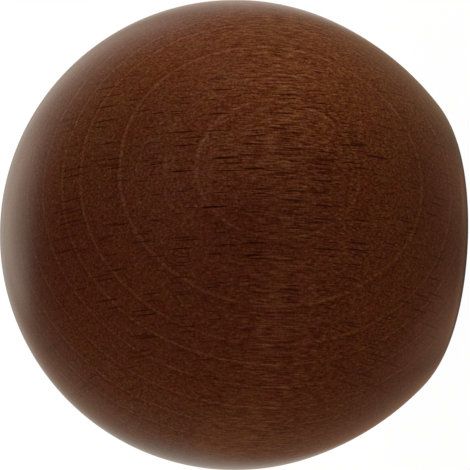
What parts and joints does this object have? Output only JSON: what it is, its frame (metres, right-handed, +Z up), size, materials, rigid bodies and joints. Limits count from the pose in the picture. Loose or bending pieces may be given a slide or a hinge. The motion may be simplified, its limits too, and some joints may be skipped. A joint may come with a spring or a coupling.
{
  "type": "wooden ball",
  "caption": "Turned hardwood ball with one blunt end, which it stands on, and a blind bore in that end for a dowel or screw insert.",
  "frame": {"origin": "centre of the flat seat on the ball's blunt end", "axes": "+Z up along the turning axis, from the seat to the ball's pole"},
  "size_m": [0.06, 0.06, 0.0568],
  "materials": {
    "stained_wood": "dark red-brown stain under satin varnish, on fine-grained beech"
  },
  "bodies": {
    "root": {"turned_ball": "stained_wood"}
  },
  "joints": []
}
